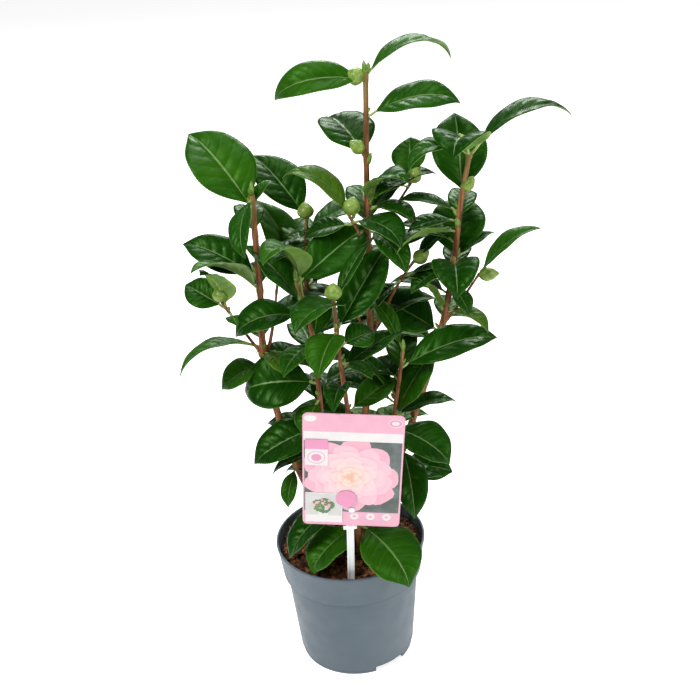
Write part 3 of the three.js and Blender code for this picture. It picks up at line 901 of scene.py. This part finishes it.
def add_bud(heap, base, heading, rise, length, width, scales, cells, rng):
    """An egg-shaped bud of overlapping scales: short ones outside at its foot, long ones inside."""
    axis, side, face = leaf_axes(heading, rise, 0)

    def skin(s, radius, turn):
        return (base + axis * (s * length)[..., None] + side * (radius * np.cos(turn))[..., None]
                + face * (radius * np.sin(turn))[..., None])

    first = rng.uniform(0, 2 * math.pi)
    turns = np.arange(CORE_SIDES) * 2 * math.pi / CORE_SIDES
    lofted(heap, [skin(np.full(CORE_SIDES, s), egg(s, width), turns) for s in CORE_PLACES], 0)
    n = cells + 1
    index = np.arange(n * n).reshape(n, n)
    a = np.linspace(-1, 1, n)[:, None]
    b = np.linspace(0, 1, n)[None, :]
    edges = ((index[:, 0], 1), (index[:, -1], -1), (index[0, :], -1), (index[-1, :], 1))
    for i in range(scales):
        share = i / (scales - 1)
        end = 0.42 + 0.5 * share
        half = math.radians(96 - 24 * share)
        s = np.clip(end * b + 0 * a, 0.015, 0.995)
        spread = half * np.sqrt(np.clip(1 - 0.97 * b**3.4, 0, 1))
        turn = first + math.radians(GOLDEN_ANGLE) * i + a * spread
        outside = egg(s, width) + 0.035 * width * (1.1 - share) + 0.012 * width * b**3
        skins = [skin(s, np.maximum(outside - depth, 0.05), turn) for depth in (0.0, SCALE_SKIN)]
        faces = []
        for p in range(cells):
            for q in range(cells):
                corners = [index[p, q], index[p + 1, q], index[p + 1, q + 1], index[p, q + 1]]
                faces.append(tuple(corners))
                faces.append(tuple(c + n * n for c in corners[::-1]))
            for row, flip in edges:
                edge = [row[p], row[p] + n * n, row[p + 1] + n * n, row[p + 1]]
                faces.append(tuple(edge[::flip]))
        heap.add(np.vstack([side_of.reshape(-1, 3) for side_of in skins]), faces, [0] * len(faces),
                 share=np.tile((b + 0 * a).reshape(-1), 2))


# Flower buds: limb, height, heading, rise, how far out it stands, length and width.
FLOWER_BUDS = [
    ("centre", 590, 178, 22, 1.5, 17, 14.5),
    ("centre", 525, 178, 42, 2.5, 16, 12),
    ("bud_shoot", 475, 40, 62, 0, 17, 15),
    ("behind", 465, 100, 74, 0, 15.5, 14.5),
    ("high_right", 493, 350, 62, 0, 16, 12.5),
    ("right", 521, 150, 66, 5, 17, 12),
    ("right", 488, 345, 55, 2, 16, 10.5),
    ("crook", 422, 10, 28, 0, 17, 13),
    ("low_right", 410, 352, 4, 0, 19, 12),
    ("front", 416, 80, 78, 0, 15.5, 14.5),
    ("low_left", 404, 110, 76, 0, 15, 13.5),
    ("low_centre", 380, 250, 45, 1, 12, 8.5),
    ("centre", 486, 350, 50, 1, 14, 9),
]
# Growth buds, slim and pointed, in the same order.
GROWTH_BUDS = [
    ("centre", 592, 120, 82, 1.5, 13, 4.8),
    ("centre", 592, 355, 76, 3, 10, 4.2),
    ("centre", 512, 335, 70, 2, 14, 4.5),
    ("right", 454, 262, 62, 1.5, 12, 5.2),
    ("right", 315, 320, 60, 2, 11, 4.4),
    ("left", 496, 60, 84, 0, 14, 4.5),
    ("inner", 349, 60, 84, 0, 12, 4.2),
    ("middle", 424, 80, 82, 0, 13, 4.5),
    ("left_fork", 409, 80, 78, 0, 11, 4.0),
    ("low_centre", 394, 200, 76, 0, 11, 4.0),
]


def buds():
    """The fat flower buds, the slim growth buds, and a small bud in the crook of many leaves."""
    crook_share, crook_rise, crook_lift = 0.6, 58, 1.5
    rng = np.random.default_rng(SEED + 100)
    fat, slim = Heap(), Heap()
    for heap, rows, scales, cells in ((fat, FLOWER_BUDS, 7, 12), (slim, GROWTH_BUDS, 4, 6)):
        for limb, height, heading, rise, out, length, width in rows:
            base = LINES[limb].at(height) + leaf_axes(heading, rise, 0)[0] * out
            add_bud(heap, base, heading, rise, length, width, scales, cells, rng)
    for name, shoot in SHOOTS.items():
        for height, heading, *_ in leaf_rows(shoot):
            if rng.uniform() < crook_share:
                length = rng.uniform(5.5, 8.5)
                out = leaf_axes(heading, crook_rise, 0)[0] * LINES[name].radius(height) * 0.9
                base = LINES[name].at(height + crook_lift) + out
                add_bud(slim, base, heading, crook_rise, length, length * 0.4, 3, 4, rng)
    piece("flower_buds", fat.mesh("flower_buds"), [BUD], slot="foliage")
    piece("growth_buds", slim.mesh("growth_buds"), [BUD_TIP], slot="foliage")


buds()


# ---------------------------------------------------------------- pot

NOTCH_COUNT, NOTCH_WIDTH, NOTCH_HEIGHT, FIRST_NOTCH = 2, 34, 6.5, -56
NOTCH_DEPTH, NOTCH_CORNER = 14, 2.2
POT_SEGMENTS = 144


def notch_cutter():
    """Round-topped blocks that cut the drain notches in the foot of the pot."""
    made = bmesh.new()
    for k in range(NOTCH_COUNT):
        turn = Matrix.Rotation(math.radians(FIRST_NOTCH + 360 / NOTCH_COUNT * k), 4, "Z")
        size = Matrix.Diagonal((NOTCH_DEPTH, NOTCH_WIDTH, 2 * NOTCH_HEIGHT, 1))
        bmesh.ops.create_cube(made, size=1.0, matrix=turn @ Matrix.Translation((POT_FOOT, 0, 0)) @ size)
    top = [e for e in made.edges if all(v.co.z > 1 for v in e.verts)
           and abs((e.verts[0].co.xy - e.verts[1].co.xy).length - NOTCH_DEPTH) < 0.1]
    bmesh.ops.bevel(made, geom=top, offset=NOTCH_CORNER, segments=4, profile=0.5, affect="EDGES")
    bmesh.ops.scale(made, vec=(MM, MM, MM), verts=made.verts)
    mesh = bpy.data.meshes.new("notches")
    made.to_mesh(mesh)
    made.free()
    return mesh


def pot():
    """A thin-walled nursery pot: rolled lip, deep collar, tapered wall and a foot line over the notches."""
    top, collar = POT_HEIGHT, POT_HEIGHT - COLLAR_HEIGHT
    foot, lip = POT_FOOT, POT_RIM
    inner_foot, inner_shoulder, inner_collar, inner_lip = (
        size - POT_WALL for size in (POT_FOOT, SHOULDER, COLLAR_FOOT, POT_RIM))
    outline = [
        (0, 2.2), (30, 2.2), (foot - 5, 2.0), (foot - 4, 0.4), (foot - 3.4, 0), (foot - 0.9, 0),
        (foot - 0.3, 0.25), (foot - 0.1, 0.9), (foot, 5.6), (foot + 0.1, 6.0), (foot + 1.1, 6.4),
        (foot + 1.4, 7.2), (SHOULDER - 1.0, collar - 6), (SHOULDER - 0.5, collar - 1.8),
        (SHOULDER - 0.3, collar - 1.2), (COLLAR_FOOT - 0.6, collar - 0.9), (COLLAR_FOOT - 0.1, collar - 0.5),
        (COLLAR_FOOT, collar + 0.4), (COLLAR_FOOT + 0.3, collar + 2), (lip - 1.0, top - 4.4),
        (lip - 0.75, top - 3.4), (lip - 0.15, top - 2.9), (lip, top - 2.2), (lip, top - 0.9),
        (lip - 0.35, top - 0.2), (lip - 1.1, top), (lip - 1.8, top - 0.2), (inner_lip, top - 0.9),
        (inner_lip - 0.4, top - 3), (inner_collar, collar + 1.5), (inner_collar - 0.6, collar),
        (inner_shoulder, collar - 3), (inner_foot + 0.6, 6), (inner_foot - 1.6, 4.4), (0, 4.2),
    ]
    blank = linked("pot_blank", smooth_mesh("pot_blank", *turned(outline, POT_SEGMENTS)))
    cutter = linked("notches", notch_cutter())
    cut = blank.modifiers.new("notches", "BOOLEAN")
    cut.operation, cut.solver, cut.object = "DIFFERENCE", "EXACT", cutter
    mesh = baked(blank)
    bpy.data.objects.remove(cutter)
    mesh.materials.clear()
    piece("pot_shell", sharpened(mesh), [POT], "pot", slot="pot_plastic")


pot()


# ---------------------------------------------------------------- soil

SOIL_TOP, SOIL_SEGMENTS = 123, 96
SOIL_EDGE = POT_RIM - POT_WALL - 0.9
CHIP_SHARES = (0.0, 0.45, 0.8)  # where each kind of chip starts, as shares of all the chips
LEAST_CHIP, MOST_CHIP = (0.55, 0.6, 0.7), (1.9, 1.7, 1.5)  # times the usual chip
CHIP_TILT = 0.45  # how far a chip leans, in radians
# Layers of chips: name, clear of the pot's wall, how many to a square metre, size, how broken, and seed.
CHIP_LAYERS = [
    ("bark_crumbs", 5.0, 60000.0, (5, 3, 1.6), 2.2, SEED),
    ("bark_chips", 13.0, 20000.0, (16, 7, 2.4), 4.0, SEED + 1),
]


def chip_tree(materials):
    """Geometry nodes: bark chips strewn on a bed, each broken its own way."""
    tree, net, given = new_tree("chips", {
        "Bed": "Geometry", "Density": "Float", "Chip": "Vector", "Break": "Float", "Seed": "Int"}, "Chips")
    spots = net.shaped("DistributePointsOnFaces", given["Bed"], Density=given["Density"], Seed=given["Seed"])
    block = net.node("GeometryNodeMeshCube", {}, {
        "Size": given["Chip"], "Vertices X": 4, "Vertices Y": 3, "Vertices Z": 2})
    size = net.node("FunctionNodeRandomValue", {"data_type": "FLOAT_VECTOR"}, {
        0: LEAST_CHIP, 1: MOST_CHIP, "Seed": 5})
    lie = net.node("FunctionNodeRandomValue", {"data_type": "FLOAT_VECTOR"}, {
        0: (-CHIP_TILT, -CHIP_TILT, 0), 1: (CHIP_TILT, CHIP_TILT, 6.28), "Seed": 9})
    chips = net.shaped("InstanceOnPoints", spots, Instance=block.outputs["Mesh"],
                       Rotation=lie.outputs[0], Scale=size.outputs[0])
    kind = net.node("FunctionNodeRandomValue", {"data_type": "FLOAT"}, {2: 0.0, 3: 1.0, "Seed": 3})
    chips = net.shaped("StoreNamedAttribute", chips, {"data_type": "FLOAT", "domain": "INSTANCE"},
                       Name="kind", Value=kind.outputs[1])
    chips = net.shaped("RealizeInstances", chips)
    place = net.node("GeometryNodeInputPosition").outputs[0]
    jitter = net.node("ShaderNodeTexNoise", {}, {"Vector": place, "Scale": 330.0, "Detail": 1.0})
    middle = net.vector("SUBTRACT", jitter.outputs["Color"], second=(0.5, 0.5, 0.5))
    chips = net.shaped("SetPosition", chips, Offset=net.vector("SCALE", middle, scale=given["Break"]))
    drawn = net.value("GeometryNodeInputNamedAttribute", 0, {"data_type": "FLOAT"}, {"Name": "kind"})
    for least, material in zip(CHIP_SHARES, materials):
        chosen = net.node("FunctionNodeCompare", {"data_type": "FLOAT", "operation": "GREATER_EQUAL"}, {
            0: drawn, 1: least})
        chips = net.shaped("SetMaterial", chips, Selection=chosen.outputs[0], Material=material)
    net.node("NodeGroupOutput", {}, {"Chips": chips})
    return tree


def soil():
    """Compost heaped unevenly to the level of the collar, under a layer of bark chips."""
    outline = [
        (0, 4.6), (POT_FOOT - POT_WALL - 2.5, 4.8), (SHOULDER - POT_WALL - 1.4, 98), (COLLAR_FOOT - 3.4, 103),
        (SOIL_EDGE - 1.2, SOIL_TOP - 1.5)]
    outline += [(SOIL_EDGE * share - 1.4, SOIL_TOP) for share in np.linspace(1, 0.06, 22)]
    points, faces = turned(outline + [(0, SOIL_TOP)], SOIL_SEGMENTS)
    points = np.array(points, float)
    for i in np.nonzero(points[:, 2] > SOIL_TOP - 0.5)[0]:
        x, y, _ = points[i]
        points[i, 2] += 2.2 * noise.noise((x / 16, y / 16, 3)) + 1.1 * noise.noise((x / 5, y / 5, 8)) - 0.6
    bed = piece("soil_bed", smooth_mesh("soil_bed", points, faces), [PEAT], "soil", slot="potting_soil")

    tree = chip_tree(CHIPS)
    for name, clear, density, chip, broken, seed in CHIP_LAYERS:
        patch = bmesh.new()
        patch.from_mesh(bed.data)
        inner = (SOIL_EDGE - clear) * MM
        gone = [f for f in patch.faces if f.normal.z < 0.3 or f.calc_center_median().xy.length > inner]
        bmesh.ops.delete(patch, geom=gone, context="FACES")
        mesh = bpy.data.meshes.new(name)
        patch.to_mesh(mesh)
        patch.free()
        mesh.materials.clear()
        chip = tuple(side * MM for side in chip)
        strewn = grown(name, mesh, tree, Density=density, Chip=chip, Break=broken * MM, Seed=seed)
        piece(name, sharpened(strewn, 28), [], slot="potting_soil")


soil()


# ---------------------------------------------------------------- label

CARD_WIDTH, CARD_HEIGHT, CARD_THICK, CARD_CORNER = 91, 134, 1.2, 5
CARD_PLACE = (Matrix.Translation((6, -74, 254)) @ Matrix.Rotation(math.radians(-4.8), 4, "Z")
              @ Matrix.Rotation(math.radians(98.8), 4, "X") @ Matrix.Rotation(math.radians(-4.9), 4, "Z"))
FILM = 0.05  # how far one printed layer stands over the next
SUNK = 0.1  # how far a layer's foot is sunk in the card


def round_box(left, right, low, high, corner, steps=6):
    """The outline of a box with round corners, anticlockwise from its lower right."""
    points = []
    left, right, low, high = left + corner, right - corner, low + corner, high - corner
    for x, y, start in ((right, low, -90), (right, high, 0), (left, high, 90), (left, low, 180)):
        for k in range(steps + 1):
            angle = math.radians(start + 90 * k / steps)
            points.append((x + corner * math.cos(angle), y + corner * math.sin(angle)))
    return np.array(points)


def disc(x, y, wide, high=None, steps=28):
    """The outline of a disc, or of an oval where it has a height of its own."""
    angles = np.arange(steps) * 2 * math.pi / steps
    return np.c_[x + wide * np.cos(angles), y + (high or wide) * np.sin(angles)]


def level_rings(section, levels):
    """A flat section repeated at each level."""
    return [np.c_[section, np.full(len(section), z)] for z in levels]


class Print:
    """Layers of flat colour on the front of the card."""

    def __init__(self):
        self.heap, self.materials = Heap(), []

    def kind(self, material):
        if material not in self.materials:
            self.materials.append(material)
        return self.materials.index(material)

    def layer(self, outline, level, material):
        """A flat patch with an outline, its top so many films over the card."""
        base, top = CARD_THICK / 2 - SUNK, CARD_THICK / 2 + level * FILM
        lofted(self.heap, level_rings(outline, (base, top)), self.kind(material))

    def boxes(self, *rows):
        """Patches with round corners: left, right, low, high, corner, level and material."""
        for *box, level, material in rows:
            self.layer(round_box(*box), level, material)

    def discs(self, *rows):
        """Round patches: middle, half the width and height, level and material."""
        for x, y, wide, high, level, material in rows:
            self.layer(disc(x, y, wide, high), level, material)

    def petal(self, x, y, angle, reach, wide, level, material, window, rng):
        """A broad round petal that starts at a point and turns up a little at its rim, held in the window."""
        rows, steps, turned_up = 7, 22, 0.16
        left, right, low, high = window
        angles = np.linspace(0, 2 * math.pi, steps, endpoint=False)
        wave = (1 + 0.05 * np.sin(3 * angles + rng.uniform(0, 6))
                + 0.03 * np.sin(5 * angles + rng.uniform(0, 6)))
        rings = []
        for share in np.linspace(1, 0.12, rows):
            along = reach * (0.5 + 0.5 * share * wave * np.cos(angles))
            across = wide / 2 * share * wave * np.sin(angles) * (0.62 + 0.38 * along / reach)
            px = x + along * math.cos(angle) - across * math.sin(angle)
            py = y + along * math.sin(angle) + across * math.cos(angle)
            lift = level * FILM + turned_up * (along / reach)**2
            rings.append(np.c_[np.clip(px, left, right), np.clip(py, low, high), CARD_THICK / 2 + lift])
        skirt = rings[0].copy()
        skirt[:, 2] = CARD_THICK / 2 - SUNK
        rings.insert(0, skirt)
        shares = [np.clip(np.linalg.norm(ring[:, :2] - (x, y), axis=1) / reach, 0, 1) for ring in rings]
        lofted(self.heap, rings, self.kind(material), np.concatenate(shares))


# The rings of the printed flower: petals, their reach and breadth, and their colours at root and rim.
ROSETTE = [
    (9, 46, 34, (0.50, 0.14, 0.22), (0.66, 0.34, 0.42)),
    (9, 40, 31, (0.54, 0.19, 0.27), (0.68, 0.41, 0.48)),
    (8, 32, 27, (0.58, 0.24, 0.31), (0.69, 0.45, 0.50)),
    (7, 25, 22, (0.60, 0.28, 0.31), (0.70, 0.49, 0.51)),
    (6, 18, 17, (0.62, 0.31, 0.26), (0.70, 0.51, 0.49)),
    (5, 12, 12, (0.62, 0.34, 0.23), (0.70, 0.53, 0.47)),
    (3, 7.5, 8, (0.62, 0.36, 0.25), (0.71, 0.55, 0.48)),
]


def rosette(sheet, x, y, window):
    """A full double flower in rings of petals, each ring smaller and warmer than the last."""
    rng = np.random.default_rng(SEED + 200)
    for number, (count, reach, wide, deep, pale) in enumerate(ROSETTE):
        material = petal_print(f"petal_{number + 1}", rgb(*deep), rgb(*pale))
        for k in range(count):
            angle = 2 * math.pi * (k + 0.5 * (number % 2)) / count + rng.uniform(-0.1, 0.1)
            level = 1.5 + number * 1.7 + 0.5 * (k % 2)
            size = rng.uniform(0.93, 1.05)
            sheet.petal(x, y, angle, reach * size, wide * size, level, material, window, rng)


def small_bush(sheet, x, y):
    """The little picture of a flowering bush: leaves all over, and blooms on its upper part."""
    rng = np.random.default_rng(SEED + 300)
    leaf = printed("print_leaf", rgb(0.05, 0.13, 0.04), rgb(0.12, 0.22, 0.07))
    bloom = printed("print_bloom", rgb(0.66, 0.24, 0.32), rgb(0.70, 0.40, 0.42))
    tall = 8.5
    for _ in range(64):
        angle, far = rng.uniform(0, 2 * math.pi), math.sqrt(rng.uniform(0, 1))
        spot = (x + 9.5 * far * math.cos(angle), y + tall * far * math.sin(angle))
        sheet.layer(disc(*spot, rng.uniform(1.2, 2.2), rng.uniform(1.0, 1.8), 9), rng.uniform(22, 26), leaf)
    for _ in range(13):
        angle, far = rng.uniform(-0.3, 3.4), math.sqrt(rng.uniform(0.1, 1))
        spot = (x + 9 * far * math.cos(angle), y + tall * far * math.sin(angle))
        sheet.layer(disc(*spot, rng.uniform(0.9, 1.7), None, 10), rng.uniform(27, 30), bloom)


def care_card():
    """The card, printed with pictures and plain badges only."""
    half, tall, eased = CARD_WIDTH / 2, CARD_HEIGHT / 2, 0.25
    sheet = Print()
    outline = round_box(-half, half, -tall, tall, CARD_CORNER)
    inset = round_box(-half + eased, half - eased, -tall + eased, tall - eased, CARD_CORNER - eased)
    skin = CARD_THICK / 2
    rings = [*level_rings(inset, [-skin]), *level_rings(outline, [-skin + eased, skin - eased]),
             *level_rings(inset, [skin])]
    lofted(sheet.heap, rings, sheet.kind(CARD_PINK))
    picture = (-half + 1.6, half - 1.6, -49.4, 36.2)
    sheet.boxes((-half + 1.0, half - 1.0, 36.2, 46.6, 0.4, 1, CARD_WHITE), (*picture, 0.4, 1, CARD_DARK))
    rosette(sheet, -2, -6, picture)
    sheet.boxes(
        (-43.2, -22.6, 26.4, 37.6, 0.5, 18, CARD_ROSE), (-43.2, -22.6, 7.4, 26.4, 0.5, 18, CARD_WHITE))
    sheet.discs(
        (-32.9, 16.8, 8.2, 7.6, 19, CARD_PINK), (-32.9, 16.8, 7.2, 6.6, 20, CARD_WHITE),
        (-32.9, 16.8, 4.6, 4.2, 21, CARD_ROSE), (-38.4, 61.2, 5.6, 3.6, 1, CARD_WHITE),
        (37.0, 58.4, 6.4, 4.6, 1, CARD_WHITE), (37.0, 58.4, 5.7, 3.9, 2, CARD_ROSE),
        (37.0, 58.4, 3.6, 2.2, 3, CARD_WHITE))
    sheet.boxes(
        (-42.8, -8.4, -62.8, -26.2, 0.5, 18, CARD_WHITE), (-42.2, -9.0, -54.0, -26.8, 0.4, 19, CARD_GREY))
    sheet.discs((-26.0, -60.0, 14.5, 2.6, 20, CARD_WHITE))
    white_pot = np.array([(-29.6, -58.5), (-22.4, -58.5), (-21.2, -50.5), (-30.8, -50.5)])
    sheet.layer(white_pot, 21, CARD_WHITE)
    small_bush(sheet, -26.0, -42.0)
    sheet.discs((-4.8, -32.0, 9.8, None, 31, CARD_ROSE))
    for x in (3.0, 18.0, 33.0):
        sheet.discs((x, -55.0, 4.1, None, 1, CARD_WHITE), (x, -55.0, 1.7, None, 2, CARD_PINK))
    mesh = sheet.heap.mesh("card")
    mesh.transform(Matrix.Scale(MM, 4) @ CARD_PLACE @ Matrix.Scale(1 / MM, 4))
    piece("care_card", sharpened(mesh), sheet.materials, "label_card", slot="label_card")


def label_strip():
    """The grooved stake, the bar that the card rests on, and the rivet that holds it."""
    strip = Heap()
    right = [(1.6, -0.4), (1.9, -1), (3.1, -1), (3.5, -0.6), (3.5, 0.6), (3.1, 1)]
    groove = np.array([(-x, y) for x, y in right[3::-1]] + right + [(-3.1, 1), (-3.5, 0.6)])
    # Across, back and up: the strip leans from the soil, and steps forward under the card.
    spine = [(-2.2, -61.9, 104), (-2, -61.9, 125), (0.2, -61.6, 178), (0.4, -61.7, 186), (0.8, -63.9, 200),
             (1.0, -65.7, 212)]
    lofted(strip, [level_rings(groove + (x, y), [z])[0] for x, y, z in spine], 0)
    bar = round_box(-6.5, 6.5, -0.9, 0.9, 0.5, 3) + (0.3, -61.6)
    lofted(strip, level_rings(bar, (182.5, 183.0, 186.0, 186.5)), 0)
    rivet = []
    for radius, z in ((1.2, -3.0), (1.2, 0.6), (3.0, 0.8), (3.1, 1.3), (2.4, 1.9), (1.0, 2.2)):
        ring = disc(0.6, -46.5, radius, None, 20)
        rivet.append(np.array([CARD_PLACE @ Vector((x, y, CARD_THICK / 2 + z)) for x, y in ring]))
    lofted(strip, rivet, 0)
    piece("label_strip", sharpened(strip.mesh("label_strip")), [STAKE], "label_stake", slot="stake_plastic")


care_card()
label_strip()


# ---------------------------------------------------------------- floor and world

def floor():
    """Plain pale paint that glows a little, like an evenly lit white studio floor."""
    reach = 9
    mesh = bpy.data.meshes.new("floor")
    corners = [(-reach, -reach, 0), (reach, -reach, 0), (reach, reach, 0), (-reach, reach, 0)]
    mesh.from_pydata(corners, [], [(0, 1, 2, 3)])
    surface = Surface("floor_paint", emission_strength=0.68, emission_color=rgb(1, 1, 1))
    surface.set("Base Color", surface.mix(surface.grain(3), rgb(0.86, 0.86, 0.86), rgb(0.9, 0.9, 0.9)))
    surface.rough(surface.grain(40), 0.7, 0.8)
    mesh.materials.append(surface.material)
    linked("floor", mesh)


def sky():
    """The plain studio round it all."""
    world = bpy.data.worlds.new("studio")
    world.use_nodes = True
    back = world.node_tree.nodes["Background"]
    back.inputs["Color"].default_value = rgb(1, 1, 1)
    back.inputs["Strength"].default_value = 0.22
    bpy.context.scene.world = world


floor()
sky()
